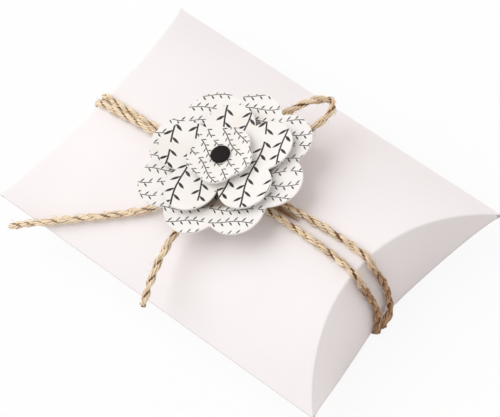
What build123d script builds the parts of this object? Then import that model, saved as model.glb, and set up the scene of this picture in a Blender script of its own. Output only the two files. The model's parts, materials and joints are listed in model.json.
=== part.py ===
"""Pillow-shaped favour box of folded card, tied twice round with jute twine and trimmed with a layered paper flower.

Millimetres, +Z up, +X along the box. The origin lies under the middle of the box, on the surface that it stands on.
"""
import os
from math import atan2, degrees, pi, radians, sqrt, tan

from build123d import *

# Folded card box
box_length = 90.0
box_width = 54.0
half_height = 9.3  # rise of each bowed panel over the side edges, and the inset of each end fold
card = 0.4
flap_edge_gap = 0.4  # between a flap's edges and the panels it closes against
flap_layer_gap = 0.35  # between the outer flap and the inner flap behind it
flap_tip_cut = 2.5  # the outer flap's corners stop this far from the side edges
inner_flap_width = 36.0
inner_flap_clearance = 0.35  # room over the inner flap's free edge as it folds inward
inner_fold_clearance = 0.15  # room under the inner flap when it lies folded in
glue_tab_width = 6.0
glue_tab_edge = 1.7  # from the side edge to the glue tab
glue_tab_end_gap = 3.0
glue_film = 0.05

# Jute twine
twine = 1.6
twine_flat = 0.5  # depth of the flat that the box stands on, under the lower strands
twine_gap = 0.25
corner_bend = 1.6  # bend of the twine's middle line round the end folds
bend_share = 0.45  # share of a loose cord's shorter run that each of its bends takes up
wrap_samples = 900
turn_apart = 4 * twine  # points further apart along the twine than this belong to different turns

# Knot under the flower
knot_length = 6.0
knot_width = 7.0
knot_corner = 2.0
knot_round = 0.6
knot_rise = 3.4  # top of the knot over the top panel
knot_cover = 0.1  # top of the knot over the loop and the tails where they leave it

# Paper flower
flower_x = -0.4
flower_y = 0.6
paper = 0.35
slip = 0.1  # between pieces stacked on the fastener
pad_diameter = 9.0
pad_thickness = 0.6
spacer_diameter = 6.0
base_spacer_thickness = 0.7
middle_spacer_thickness = 0.7
hole_clearance = 0.05
base_petals = 8
base_radius = 17.4
base_petal_radius = 6.0
base_turn = 11.0
base_rise = 0.5
middle_petals = 5
middle_radius = 13.4
middle_petal_radius = 5.2
middle_turn = -21.0
middle_rise = 0.8
top_petals = 5
top_radius = 6.8
top_petal_radius = 4.1
top_turn = 14.0
top_rise = 0.5
flat_share = 0.4  # share of a layer's radius that stays flat round the fastener

# Split-leg paper fastener
shank_diameter = 1.4
leg_length = 6.0
leg_width = 1.4
leg_thickness = 0.3
head_diameter = 4.0
head_height = 0.6

# Shared heights and the arc that the panels and end folds follow
strand = twine / 2
arc_radius = (box_width**2 / 4 + half_height**2) / (2 * half_height)
bottom_z = twine - twine_flat + twine_gap
mid_z = bottom_z + half_height
top_z = mid_z + half_height
end_centre = box_length / 2 + arc_radius - half_height  # middle of the arc of an end fold, seen from above
fold_x = box_length / 2 - half_height  # an end fold at the middle of the box's width
end_cut_height = 2 * (half_height + card)


def bow(y, inset=0.0):
    """Height over the side edges of a panel's outer face, or of a face set in from it, at a place across the box."""
    return sqrt((arc_radius - inset) ** 2 - y**2) - (arc_radius - half_height)


# Box panels: two bowed sheets that meet along the side edges, with hollow arcs at the ends
def bowed_panel(side):
    """The top panel for side 1, the bottom panel for side -1."""
    with BuildPart() as panel:
        with BuildSketch(Plane.YZ.offset(-box_length / 2)):
            with Locations((0, mid_z + side * (half_height - arc_radius))):
                Circle(arc_radius)
                Circle(arc_radius - card, mode=Mode.SUBTRACT)
            with Locations((0, mid_z + side * half_height / 2)):
                Rectangle(box_width, half_height, mode=Mode.INTERSECT)
        extrude(amount=box_length)
        with Locations((end_centre, 0, mid_z), (-end_centre, 0, mid_z)):
            Cylinder(arc_radius, end_cut_height, mode=Mode.SUBTRACT)
    return panel.part


# Glue tab: the strip along one side edge that is stuck under the top panel
def glue_strip():
    outer = arc_radius - card - glue_film
    middle_y = -(box_width / 2 - glue_tab_edge - glue_tab_width / 2)
    with BuildPart() as strip:
        with BuildSketch(Plane.YZ.offset(-box_length / 2)):
            with Locations((0, mid_z + half_height - arc_radius)):
                Circle(outer)
                Circle(outer - card, mode=Mode.SUBTRACT)
            with Locations((middle_y, mid_z + half_height / 2)):
                Rectangle(glue_tab_width, half_height, mode=Mode.INTERSECT)
        extrude(amount=box_length)
        with Locations((end_centre, 0, mid_z), (-end_centre, 0, mid_z)):
            Cylinder(arc_radius + glue_tab_end_gap, end_cut_height, mode=Mode.SUBTRACT)
    return strip.part


# End flaps: curved sheets that stand between the panels, the inner one behind the outer one
inner_fold_x = fold_x - card - flap_layer_gap
inner_fold_z = bottom_z + 2 * card + inner_fold_clearance


def curved_flap(side, depth, width):
    """A flap of the right end for side 1 or the left end for side -1, set in by depth from the end fold."""
    reach = arc_radius - card - flap_edge_gap
    with BuildPart() as flap:
        with BuildSketch(Plane.XY.offset(bottom_z)):
            with Locations((side * end_centre, 0)):
                Circle(arc_radius + depth + card)
                Circle(arc_radius + depth, mode=Mode.SUBTRACT)
            with Locations((side * box_length / 4, 0)):
                Rectangle(box_length / 2, width, mode=Mode.INTERSECT)
        extrude(amount=2 * half_height)
        with BuildSketch(Plane.YZ.offset(-box_length / 2)):
            with Locations((0, top_z - arc_radius)):
                Circle(reach)
            with Locations((0, bottom_z + arc_radius)):
                Circle(reach, mode=Mode.INTERSECT)
        extrude(amount=box_length, mode=Mode.INTERSECT)
    return flap.part


def free_edge(y):
    """Height of the inner flap's free edge, low enough to pass under the top panel as the flap folds inward."""
    room = mid_z + bow(y, card) - inner_flap_clearance - inner_fold_z
    return inner_fold_z + sqrt(room**2 - (half_height - bow(y)) ** 2)


def inner_flap(side):
    half = inner_flap_width / 2
    with BuildPart() as flap:
        add(curved_flap(side, card + flap_layer_gap, inner_flap_width))
        with BuildSketch(Plane.YZ.offset(-box_length / 2)):
            with BuildLine():
                ThreePointArc((-half, free_edge(half)), (0, free_edge(0)), (half, free_edge(half)))
                Polyline((half, free_edge(half)), (half, bottom_z), (-half, bottom_z), (-half, free_edge(half)))
            make_face()
        extrude(amount=box_length, mode=Mode.INTERSECT)
    return flap.part


# Twine: round tubes along straight runs joined by arcs
def route_radii(points):
    """The largest bend at each corner of a loose cord's route."""
    corners = [Vector(*p) for p in points]
    radii = []
    for before, here, after in zip(corners, corners[1:], corners[2:]):
        turn = (here - before).get_angle(after - here)
        shorter = min((here - before).length, (after - here).length)
        radii.append(bend_share * shorter / tan(radians(turn / 2)))
    return radii


def twine_tube(points, radii):
    with BuildPart() as tube:
        with BuildLine() as route:
            FilletPolyline(*points, radius=radii)
        with BuildSketch(Plane(route.wire() @ 0, z_dir=route.wire() % 0)):
            Circle(strand)
        sweep()
    return tube.part, route.wire()


def report_tube(name, tube, wire, radii):
    plain = pi * strand**2 * wire.length
    bends = ", ".join(f"{r:.1f}" for r in radii)
    print(f"{name}: length {wire.length:.1f}, bends {bends}, volume share {tube.volume / plain:.4f}")


def least_self_gap(wire):
    """Least clear distance between two turns of a winding."""
    points = [wire @ (i / wrap_samples) for i in range(wrap_samples + 1)]
    step = wire.length / wrap_samples
    apart = int(turn_apart / step)
    near = min((points[i] - points[j]).length for i in range(len(points)) for j in range(i + apart, len(points)))
    return near - twine


def on_top(x, y):
    return (x, y, mid_z + bow(y) + twine_gap + strand)


def over_end(side, y):
    return (side * (box_length / 2 - bow(y) + twine_gap + strand), y, mid_z + bow(y) + twine_gap + strand)


def under_end(side, y):
    return (side * (box_length / 2 - bow(y) + twine_gap + strand), y, strand - twine_flat)


wrap_points = [
    on_top(-1.2, 1.75),
    over_end(-1, -0.2),
    under_end(-1, 2.0),
    under_end(1, -1.0),
    over_end(1, 1.9),
    over_end(-1, -2.3),
    under_end(-1, -1.2),
    under_end(1, -3.1),
    over_end(1, -1.8),
    on_top(1.2, -2.2),
]
wrap_radii = [corner_bend] * (len(wrap_points) - 2)


def over_panel(x, y, rise):
    """A point of a loose cord, given by its height over the crown of the top panel."""
    return (x, y, top_z + rise)


cord_exit_rise = knot_rise - knot_cover - strand
bow_points = [
    over_panel(0.2, 2.0, cord_exit_rise),
    over_panel(-0.2, 9.7, 2.4),
    over_panel(0.0, 17.4, 2.0),
    over_panel(3.0, 22.7, 1.7),
    over_panel(5.8, 24.5, 1.6),
    over_panel(7.8, 22.3, 1.7),
    over_panel(7.5, 16.9, 2.0),
    over_panel(5.0, 9.2, 2.4),
    over_panel(1.9, 2.0, cord_exit_rise),
]
left_tail_points = [
    over_panel(-1.4, -2.0, cord_exit_rise),
    over_panel(-4.3, -8.0, 1.75),
    over_panel(-8.1, -13.2, -0.35),
    over_panel(-13.2, -16.9, -1.9),
    over_panel(-18.8, -20.4, -3.5),
    over_panel(-24.9, -23.8, -5.4),
    over_panel(-29.5, -26.2, -7.15),
    over_panel(-34.6, -28.9, -9.05),
    over_panel(-38.3, -30.8, -10.4),
]
near_tail_points = [
    over_panel(0.7, -0.8, cord_exit_rise),
    over_panel(0.2, -8.0, 2.3),
    over_panel(0.3, -14.9, 1.8),
    over_panel(1.6, -21.2, 1.15),
    over_panel(3.4, -26.8, 0.2),
    over_panel(5.3, -30.8, -0.65),
]


def standing_flat(tube):
    """The wrap with its lower strands cut flat where the box stands on them."""
    with BuildPart() as wrap:
        add(tube)
        split(bisect_by=Plane.XY, keep=Keep.TOP)
    return wrap.part


def knot_block(cords):
    with BuildPart() as knot:
        with BuildSketch(Plane.XY.offset(top_z + twine_gap + strand)):
            RectangleRounded(knot_length, knot_width, knot_corner)
        extrude(amount=knot_rise - twine_gap - strand)
        fillet(knot.faces().sort_by(Axis.Z)[-1].edges(), knot_round)
        for cord in cords:
            add(cord, mode=Mode.SUBTRACT)
    return knot.part


def outside(cord, knot):
    """A loose cord without the stretch that lies in the knot."""
    with BuildPart() as loose:
        add(cord)
        add(knot, mode=Mode.SUBTRACT)
    return loose.part


# Flower: cupped paper layers threaded on a split-leg fastener, over a pad stuck to the knot
pad_z = top_z + knot_rise
leg_z = pad_z + pad_thickness
base_z = leg_z + leg_thickness + slip
base_spacer_z = base_z + paper + slip
middle_z = base_spacer_z + base_spacer_thickness + slip
middle_spacer_z = middle_z + paper + slip
flower_top_z = middle_spacer_z + middle_spacer_thickness + slip
head_z = flower_top_z + paper + slip
flower_axis = Axis((flower_x, flower_y, 0), (0, 0, 1))


def flower_layer(z, petals, tip_radius, petal_radius, turn, rise):
    """One die-cut layer: round petals, flat round the fastener and curling up to their tips."""
    flat = flat_share * tip_radius
    curl = ((tip_radius - flat) ** 2 + rise**2) / (2 * rise)
    sweep_angle = degrees(atan2(tip_radius + paper - flat, curl - rise))
    with BuildPart() as layer:
        with BuildSketch(Plane((flower_x, flower_y, z))):
            with PolarLocations(tip_radius - petal_radius, petals, start_angle=turn):
                Circle(petal_radius)
            Circle(tip_radius - petal_radius)
            Circle(shank_diameter / 2 + hole_clearance, mode=Mode.SUBTRACT)
        extrude(amount=rise + 2 * paper)
        with BuildSketch(Plane((flower_x, flower_y, z), x_dir=(1, 0, 0), z_dir=(0, -1, 0))):
            with BuildLine():
                lower = CenterArc((flat, curl), curl, -90, sweep_angle)
                upper = CenterArc((flat, curl), curl - paper, -90, sweep_angle)
                Line(lower @ 1, upper @ 1)
                Polyline(lower @ 0, (0, 0), (0, paper), upper @ 0)
            make_face()
        revolve(axis=flower_axis, mode=Mode.INTERSECT)
    return layer.part


def round_pad(z, diameter, thickness, hole_diameter=0.0):
    with BuildPart() as pad:
        with BuildSketch(Plane((flower_x, flower_y, z))):
            Circle(diameter / 2)
            if hole_diameter:
                Circle(hole_diameter / 2, mode=Mode.SUBTRACT)
        extrude(amount=thickness)
    return pad.part


def fastener_legs():
    """The shank and the two legs bent flat under the flower."""
    with BuildPart() as legs:
        with BuildSketch(Plane((flower_x, flower_y, leg_z))):
            SlotCenterToCenter(2 * leg_length - leg_width, leg_width)
        extrude(amount=leg_thickness)
        with BuildSketch(Plane((flower_x, flower_y, leg_z))):
            Circle(shank_diameter / 2)
        extrude(amount=head_z - leg_z)
    return legs.part


def fastener_head():
    """A low dome that holds the layers down."""
    dome = (head_diameter**2 / 4 + head_height**2) / (2 * head_height)
    with BuildPart() as head:
        with BuildSketch(Plane((flower_x, flower_y, head_z), x_dir=(1, 0, 0), z_dir=(0, -1, 0))):
            with BuildLine():
                RadiusArc((0, head_height), (head_diameter / 2, 0), dome)
                Polyline((head_diameter / 2, 0), (0, 0), (0, head_height))
            make_face()
        revolve(axis=flower_axis)
    return head.part


wrap_tube, wrap_wire = twine_tube(wrap_points, wrap_radii)
loop_tube, loop_wire = twine_tube(bow_points, route_radii(bow_points))
left_tube, left_wire = twine_tube(left_tail_points, route_radii(left_tail_points))
near_tube, near_wire = twine_tube(near_tail_points, route_radii(near_tail_points))
report_tube("twine_wrap", wrap_tube, wrap_wire, wrap_radii)
report_tube("bow_loop", loop_tube, loop_wire, route_radii(bow_points))
report_tube("left_tail", left_tube, left_wire, route_radii(left_tail_points))
report_tube("near_tail", near_tube, near_wire, route_radii(near_tail_points))
print(f"twine_wrap: least gap between its turns {least_self_gap(wrap_wire):.2f}")
print(f"outer folds at x {fold_x:.2f}, z {top_z:.2f}; inner folds at x {inner_fold_x:.2f}, z {inner_fold_z:.2f}")

knot = knot_block([wrap_tube])
spacer_hole = shank_diameter + 2 * hole_clearance
pieces = {
    "top_panel": bowed_panel(1),
    "bottom_panel": bowed_panel(-1),
    "glue_tab": glue_strip(),
    "right_outer_flap": curved_flap(1, 0, box_width - 2 * flap_tip_cut),
    "left_outer_flap": curved_flap(-1, 0, box_width - 2 * flap_tip_cut),
    "right_inner_flap": inner_flap(1),
    "left_inner_flap": inner_flap(-1),
    "twine_wrap": standing_flat(wrap_tube),
    "twine_knot": knot,
    "bow_loop": outside(loop_tube, knot),
    "left_tail": outside(left_tube, knot),
    "near_tail": outside(near_tube, knot),
    "flower_pad": round_pad(pad_z, pad_diameter, pad_thickness),
    "fastener_legs": fastener_legs(),
    "flower_base": flower_layer(base_z, base_petals, base_radius, base_petal_radius, base_turn, base_rise),
    "base_spacer": round_pad(base_spacer_z, spacer_diameter, base_spacer_thickness, spacer_hole),
    "flower_middle": flower_layer(
        middle_z, middle_petals, middle_radius, middle_petal_radius, middle_turn, middle_rise
    ),
    "middle_spacer": round_pad(middle_spacer_z, spacer_diameter, middle_spacer_thickness, spacer_hole),
    "flower_top": flower_layer(flower_top_z, top_petals, top_radius, top_petal_radius, top_turn, top_rise),
    "fastener_head": fastener_head(),
}

os.makedirs("parts", exist_ok=True)
for name, piece in pieces.items():
    piece.label = name
    export_step(piece, f"parts/{name}.step")
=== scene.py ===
"""Looks of the favor box: folded white card, twisted jute twine and a printed paper flower.

Metres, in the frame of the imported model: +Z up, +X along the box, and the origin under its middle.
"""

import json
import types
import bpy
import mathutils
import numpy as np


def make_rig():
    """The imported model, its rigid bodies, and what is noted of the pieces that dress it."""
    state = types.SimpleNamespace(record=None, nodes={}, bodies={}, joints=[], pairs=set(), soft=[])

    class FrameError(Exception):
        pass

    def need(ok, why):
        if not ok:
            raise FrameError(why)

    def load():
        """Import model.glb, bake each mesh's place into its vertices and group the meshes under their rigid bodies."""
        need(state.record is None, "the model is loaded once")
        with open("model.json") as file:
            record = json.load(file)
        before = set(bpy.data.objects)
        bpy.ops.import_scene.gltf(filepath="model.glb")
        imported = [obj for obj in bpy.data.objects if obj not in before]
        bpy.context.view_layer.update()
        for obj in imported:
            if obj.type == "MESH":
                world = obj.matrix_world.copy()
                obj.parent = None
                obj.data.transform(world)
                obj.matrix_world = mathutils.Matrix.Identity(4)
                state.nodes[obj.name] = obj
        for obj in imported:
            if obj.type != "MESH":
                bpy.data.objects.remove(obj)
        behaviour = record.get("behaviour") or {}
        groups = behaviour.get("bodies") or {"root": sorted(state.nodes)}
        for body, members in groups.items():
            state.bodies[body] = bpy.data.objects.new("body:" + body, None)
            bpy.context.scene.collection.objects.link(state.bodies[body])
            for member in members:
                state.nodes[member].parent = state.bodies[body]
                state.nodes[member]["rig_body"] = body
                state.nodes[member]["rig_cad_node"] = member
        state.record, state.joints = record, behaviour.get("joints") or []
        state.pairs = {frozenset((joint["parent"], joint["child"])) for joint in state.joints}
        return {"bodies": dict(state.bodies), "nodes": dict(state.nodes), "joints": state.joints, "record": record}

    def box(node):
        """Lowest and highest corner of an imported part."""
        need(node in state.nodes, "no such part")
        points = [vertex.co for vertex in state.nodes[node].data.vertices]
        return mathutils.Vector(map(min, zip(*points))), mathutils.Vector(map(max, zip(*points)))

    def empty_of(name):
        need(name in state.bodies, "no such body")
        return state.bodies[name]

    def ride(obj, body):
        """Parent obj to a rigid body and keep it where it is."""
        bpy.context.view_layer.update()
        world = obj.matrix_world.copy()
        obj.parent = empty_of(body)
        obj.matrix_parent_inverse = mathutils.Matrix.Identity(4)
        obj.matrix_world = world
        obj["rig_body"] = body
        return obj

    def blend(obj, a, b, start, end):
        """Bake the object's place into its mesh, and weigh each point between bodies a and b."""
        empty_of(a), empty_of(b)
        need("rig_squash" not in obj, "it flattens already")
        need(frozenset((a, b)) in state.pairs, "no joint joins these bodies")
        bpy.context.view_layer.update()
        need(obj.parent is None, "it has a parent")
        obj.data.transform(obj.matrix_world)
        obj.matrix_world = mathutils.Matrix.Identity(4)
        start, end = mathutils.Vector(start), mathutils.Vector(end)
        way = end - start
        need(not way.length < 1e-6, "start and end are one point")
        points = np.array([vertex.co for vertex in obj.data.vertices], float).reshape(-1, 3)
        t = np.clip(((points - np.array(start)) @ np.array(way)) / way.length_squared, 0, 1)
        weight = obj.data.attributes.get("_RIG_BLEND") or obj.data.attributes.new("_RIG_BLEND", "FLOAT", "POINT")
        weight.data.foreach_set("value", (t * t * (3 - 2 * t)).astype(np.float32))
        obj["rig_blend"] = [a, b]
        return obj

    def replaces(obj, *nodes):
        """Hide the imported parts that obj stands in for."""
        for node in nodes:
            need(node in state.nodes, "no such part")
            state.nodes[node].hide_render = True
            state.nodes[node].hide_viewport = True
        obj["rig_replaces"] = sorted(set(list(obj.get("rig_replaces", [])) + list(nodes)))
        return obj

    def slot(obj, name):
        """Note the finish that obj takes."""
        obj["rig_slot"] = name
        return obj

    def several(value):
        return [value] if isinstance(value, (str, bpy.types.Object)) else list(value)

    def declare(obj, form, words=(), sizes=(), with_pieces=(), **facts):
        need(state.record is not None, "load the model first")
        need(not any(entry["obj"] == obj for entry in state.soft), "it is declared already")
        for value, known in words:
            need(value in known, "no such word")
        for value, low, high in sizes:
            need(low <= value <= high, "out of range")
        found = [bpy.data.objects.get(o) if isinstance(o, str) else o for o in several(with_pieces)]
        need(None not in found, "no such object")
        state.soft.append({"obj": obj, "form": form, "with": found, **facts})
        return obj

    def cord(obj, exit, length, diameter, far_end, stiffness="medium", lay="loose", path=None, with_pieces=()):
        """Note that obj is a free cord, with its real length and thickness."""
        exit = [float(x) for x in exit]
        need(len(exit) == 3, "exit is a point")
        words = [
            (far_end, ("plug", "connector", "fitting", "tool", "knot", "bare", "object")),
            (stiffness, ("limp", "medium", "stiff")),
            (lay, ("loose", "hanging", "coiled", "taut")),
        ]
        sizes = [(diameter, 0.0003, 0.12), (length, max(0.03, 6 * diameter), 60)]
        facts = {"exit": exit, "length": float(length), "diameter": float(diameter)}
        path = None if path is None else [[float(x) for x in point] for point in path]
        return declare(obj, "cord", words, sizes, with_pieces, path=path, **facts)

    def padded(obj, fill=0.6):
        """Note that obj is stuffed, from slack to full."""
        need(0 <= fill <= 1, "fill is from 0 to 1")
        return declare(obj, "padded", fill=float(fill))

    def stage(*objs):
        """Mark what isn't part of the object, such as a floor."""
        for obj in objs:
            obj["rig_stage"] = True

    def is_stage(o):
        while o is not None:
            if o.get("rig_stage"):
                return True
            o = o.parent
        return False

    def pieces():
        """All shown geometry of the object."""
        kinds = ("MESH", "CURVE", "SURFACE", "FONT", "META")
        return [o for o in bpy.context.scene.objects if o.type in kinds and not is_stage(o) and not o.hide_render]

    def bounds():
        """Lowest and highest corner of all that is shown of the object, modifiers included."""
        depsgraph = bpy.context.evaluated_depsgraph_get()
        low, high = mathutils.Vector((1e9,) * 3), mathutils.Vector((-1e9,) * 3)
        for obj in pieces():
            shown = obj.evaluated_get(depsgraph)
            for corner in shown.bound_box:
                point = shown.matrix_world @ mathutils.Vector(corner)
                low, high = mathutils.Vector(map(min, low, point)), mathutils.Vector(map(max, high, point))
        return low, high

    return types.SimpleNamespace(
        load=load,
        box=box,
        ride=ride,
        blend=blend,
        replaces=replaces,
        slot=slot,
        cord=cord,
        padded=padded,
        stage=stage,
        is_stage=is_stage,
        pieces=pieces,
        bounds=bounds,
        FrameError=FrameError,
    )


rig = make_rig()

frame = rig.load()
cad_low, cad_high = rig.bounds()

import json
from math import cos, exp, pi, radians, sin, sqrt
from random import Random

import bmesh
import bpy
from bpy.props import FloatProperty, FloatVectorProperty, IntProperty, PointerProperty
from mathutils import Quaternion, Vector

bl_info = {
    "name": "Favor Box",
    "version": (1, 0, 0),
    "blender": (4, 5, 0),
    "location": "3D View > Sidebar > Favor Box",
    "description": "Dresses a tied pillow box with card, twine and a paper flower",
    "category": "Object",
}

MM = 0.001
SIZE_FILE = "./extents.json"

# Box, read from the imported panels
panel_low, panel_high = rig.box("top_panel")
half_length = panel_high.x
half_width = panel_high.y
mid_z = panel_low.z
top_z = panel_high.z
half_height = top_z - mid_z
arc_radius = (half_width**2 + half_height**2) / (2 * half_height)
fold_x = half_length - half_height

# Flower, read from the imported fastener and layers
head_low, head_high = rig.box("fastener_head")
flower_x = (head_low.x + head_high.x) / 2
flower_y = (head_low.y + head_high.y) / 2


class CardSettings(bpy.types.PropertyGroup):
    """Folded card of the box."""

    thickness: FloatProperty(
        name="Thickness", description="Thickness of the card", default=0.4 * MM, unit="LENGTH"
    )
    fold_round: FloatProperty(
        name="Fold radius", description="Outside radius of the end folds", default=0.5 * MM, unit="LENGTH"
    )
    colour: FloatVectorProperty(
        name="Colour", description="Colour of the card", default=(0.925, 0.895, 0.9), subtype="COLOR"
    )


class TwineSettings(bpy.types.PropertyGroup):
    """Two-ply jute twine."""

    diameter: FloatProperty(
        name="Diameter", description="Outside diameter of the twine", default=1.6 * MM, unit="LENGTH"
    )
    strands: IntProperty(name="Strands", description="Strands twisted together", default=2, min=2, max=4)
    lay: FloatProperty(
        name="Lay", description="Length of one turn of a strand", default=6.6 * MM, unit="LENGTH"
    )
    pale: FloatVectorProperty(
        name="Pale fibre",
        description="Colour of the pale fibres",
        default=(0.97, 0.81, 0.575),
        subtype="COLOR",
    )
    brown: FloatVectorProperty(
        name="Brown fibre",
        description="Colour of the brown fibres",
        default=(0.48, 0.242, 0.09),
        subtype="COLOR",
    )
    fibres: FloatProperty(
        name="Loose fibres", description="Loose fibres on each millimetre of twine", default=2.4, min=0.0
    )


class FlowerSettings(bpy.types.PropertyGroup):
    """Paper flower on a black fastener."""

    paper: FloatVectorProperty(
        name="Paper", description="Colour of the paper", default=(0.92, 0.905, 0.88), subtype="COLOR"
    )
    ink: FloatVectorProperty(
        name="Ink", description="Colour of the printed sprigs", default=(0.022, 0.019, 0.018), subtype="COLOR"
    )
    # Painted shade under the middle layer, seen in its notches
    rubbed: FloatVectorProperty(
        name="Painted notch shade",
        description="Colour of the painted shade round the fastener on the base layer",
        default=(0.15, 0.09, 0.05),
        subtype="COLOR",
    )
    enamel: FloatVectorProperty(
        name="Enamel",
        description="Colour of the fastener's head",
        default=(0.009, 0.0065, 0.006),
        subtype="COLOR",
    )
    curl: FloatProperty(
        name="Petal curl", description="Rise of the petals' side edges", default=0.3 * MM, unit="LENGTH"
    )


class StudioSettings(bpy.types.PropertyGroup):
    """Light, floor and camera."""

    sky: FloatProperty(name="Sky", description="Strength of the even light", default=0.59, min=0.0)
    key: FloatProperty(
        name="Key light", description="Power of the high lamp", default=5.3, min=0.0, unit="POWER"
    )
    fill: FloatProperty(
        name="Fill light", description="Power of the low lamp in front", default=1.4, min=0.0, unit="POWER"
    )
    lens: FloatProperty(name="Lens", description="Focal length in millimetres", default=253.3, min=1.0)


class Wire:
    """A shader socket that takes part in Python expressions."""

    def __init__(self, tree, socket=None):
        self.tree = tree
        self.socket = socket

    def node(self, kind, settings=None, inputs=None, output=0):
        """Adds a node, with its settings made first and then its sockets filled or linked."""
        made = self.tree.nodes.new(kind)
        for name, value in (settings or {}).items():
            if name == "stops":
                self.set_stops(made.color_ramp, value)
            else:
                setattr(made, name, value)
        for key, value in (inputs or {}).items():
            if isinstance(value, Wire):
                self.tree.links.new(value.socket, made.inputs[key])
            else:
                made.inputs[key].default_value = value
        return Wire(self.tree, made.outputs[output] if made.outputs else None)

    @staticmethod
    def set_stops(ramp, stops):
        while len(ramp.elements) < len(stops):
            ramp.elements.new(1.0)
        for element, (place, grey) in zip(ramp.elements, stops):
            element.position = place
            element.color = (grey, grey, grey, 1.0)

    def math(self, operation, *values):
        inputs = dict(enumerate((self, *values)))
        return self.node("ShaderNodeMath", {"operation": operation}, inputs)

    def reflected(self, operation, value):
        return self.node("ShaderNodeMath", {"operation": operation}, {0: value, 1: self})

    def __add__(self, other):
        return self.math("ADD", other)

    def __radd__(self, other):
        return self.reflected("ADD", other)

    def __sub__(self, other):
        return self.math("SUBTRACT", other)

    def __rsub__(self, other):
        return self.reflected("SUBTRACT", other)

    def __mul__(self, other):
        return self.math("MULTIPLY", other)

    def __rmul__(self, other):
        return self.reflected("MULTIPLY", other)

    def __truediv__(self, other):
        return self.math("DIVIDE", other)

    def __rtruediv__(self, other):
        return self.reflected("DIVIDE", other)

    def __mod__(self, other):
        return self.math("FLOORED_MODULO", other)

    def __abs__(self):
        return self.math("ABSOLUTE")

    def clipped(self):
        """The value held between 0 and 1."""
        return self.node("ShaderNodeClamp", {}, {"Value": self, "Min": 0.0, "Max": 1.0})

    def between(self, low, high):
        """0 at low and 1 at high, with a soft step from one to the other."""
        return self.node(
            "ShaderNodeMapRange",
            {"interpolation_type": "SMOOTHSTEP", "clamp": True},
            {"Value": self, "From Min": low, "From Max": high, "To Min": 0.0, "To Max": 1.0},
        )

    def mixed(self, first, second):
        """Colours mixed by this value: first at 0, second at 1."""
        return self.node("ShaderNodeMix", {"data_type": "RGBA"}, {0: self, 6: first, 7: second}, output=2)

    def part(self, axis):
        """One part of a vector: 0, 1 or 2."""
        return self.node("ShaderNodeSeparateXYZ", {}, {0: self}, output=axis)


def solid(colour):
    return (*colour, 1.0)


# Materials: the scales of their patterns, in features for each metre, and the depths of their grain
CARD_TOOTH = 4200.0
CARD_CLOUDS = 55.0
PAPER_TOOTH = 3600.0
PAPER_AGEING = 130.0
INK_WEAR = 2600.0
INK_BLUR = 900.0
JUTE_FIBRES = 3000.0
JUTE_SLITS = 4800.0
JUTE_PATCHES = 260.0
HAIR_TINTS = 900.0
FOAM_CELLS = 4200.0
STEEL_LINES = 9000.0
ENAMEL_DUST = 5200.0
TOOTH_DEPTH = 0.02 * MM
FIBRE_DEPTH = 0.08 * MM
CELL_DEPTH = 0.08 * MM


def cleared(owner):
    """Clears the nodes of a material or a world. Gives an empty wire."""
    owner.use_nodes = True
    owner.node_tree.nodes.clear()
    return Wire(owner.node_tree)


def new_material(name):
    """A material with one Principled shader. Gives the material, an empty wire and the shader's sockets."""
    material = bpy.data.materials.new(name)
    wire = cleared(material)
    shader = wire.tree.nodes.new("ShaderNodeBsdfPrincipled")
    output = wire.tree.nodes.new("ShaderNodeOutputMaterial")
    wire.tree.links.new(shader.outputs[0], output.inputs[0])
    return material, wire, shader.inputs


def feed(sockets, name, wire):
    wire.tree.links.new(wire.socket, sockets[name])


def object_place(wire, scale=(1.0, 1.0, 1.0), turn=0.0):
    """Object coordinates, turned about Z and scaled."""
    place = wire.node("ShaderNodeTexCoord", output="Object")
    inputs = {"Vector": place, "Rotation": (0, 0, turn), "Scale": scale}
    return wire.node("ShaderNodeMapping", {"vector_type": "POINT"}, inputs)


def noise(wire, vector, scale, detail=2.0, roughness=0.5):
    inputs = {"Vector": vector, "Scale": scale, "Detail": detail, "Roughness": roughness}
    return wire.node("ShaderNodeTexNoise", {"noise_dimensions": "3D"}, inputs)


def bump(wire, height, strength, distance):
    inputs = {"Height": height, "Strength": strength, "Distance": distance}
    return wire.node("ShaderNodeBump", {}, inputs)


CARD_DIM = 0.972  # the dimmest of the card, as a share of its colour


def card_material(name, colour):
    """Smooth white card with a faint tooth and slightly uneven whiteness."""
    material, wire, sockets = new_material(name)
    place = object_place(wire)
    tooth = noise(wire, place, CARD_TOOTH, detail=3.0)
    cloud = noise(wire, place, CARD_CLOUDS, detail=3.0)
    shade = (cloud.between(0.3, 0.7) * 0.7 + tooth * 0.3).clipped()
    dim = [channel * CARD_DIM for channel in colour]
    feed(sockets, "Base Color", shade.mixed(solid(dim), solid(colour)))
    feed(sockets, "Roughness", 0.5 + tooth * 0.16)
    feed(sockets, "Normal", bump(wire, tooth, 0.12, TOOTH_DEPTH))
    sockets["Specular IOR Level"].default_value = 0.35
    return material


# Printed sprigs
SPRIG_LEAVES = 12  # steps from the start of a sprig to the next, the last of them bare
SPRIG_FADE = 1.2  # steps before the start of the next where a sprig fades out
ROW_SHIFT = 37.0  # most that chance moves a row along, in mm
WAVE_SHIFT = 6.3  # and its wave, in radians
STEM_WAVE = 1.9  # radians of a stem's wave in the height of a row
STEM_SWING = 0.1  # swing of the stem, as a share of the row
STEM_EDGE = 0.04  # soft edge of a stem and of a leaf, in mm
LEAF_EDGE = 0.09
LEAF_STEP = 0.62  # from leaf to leaf, as a share of a leaf's length
LEAF_ROOT = 0.02  # from the start of its step to a leaf, as a share of the step
LEAF_LEAN = radians(52)
LEAF_FULLNESS = 0.58


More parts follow.
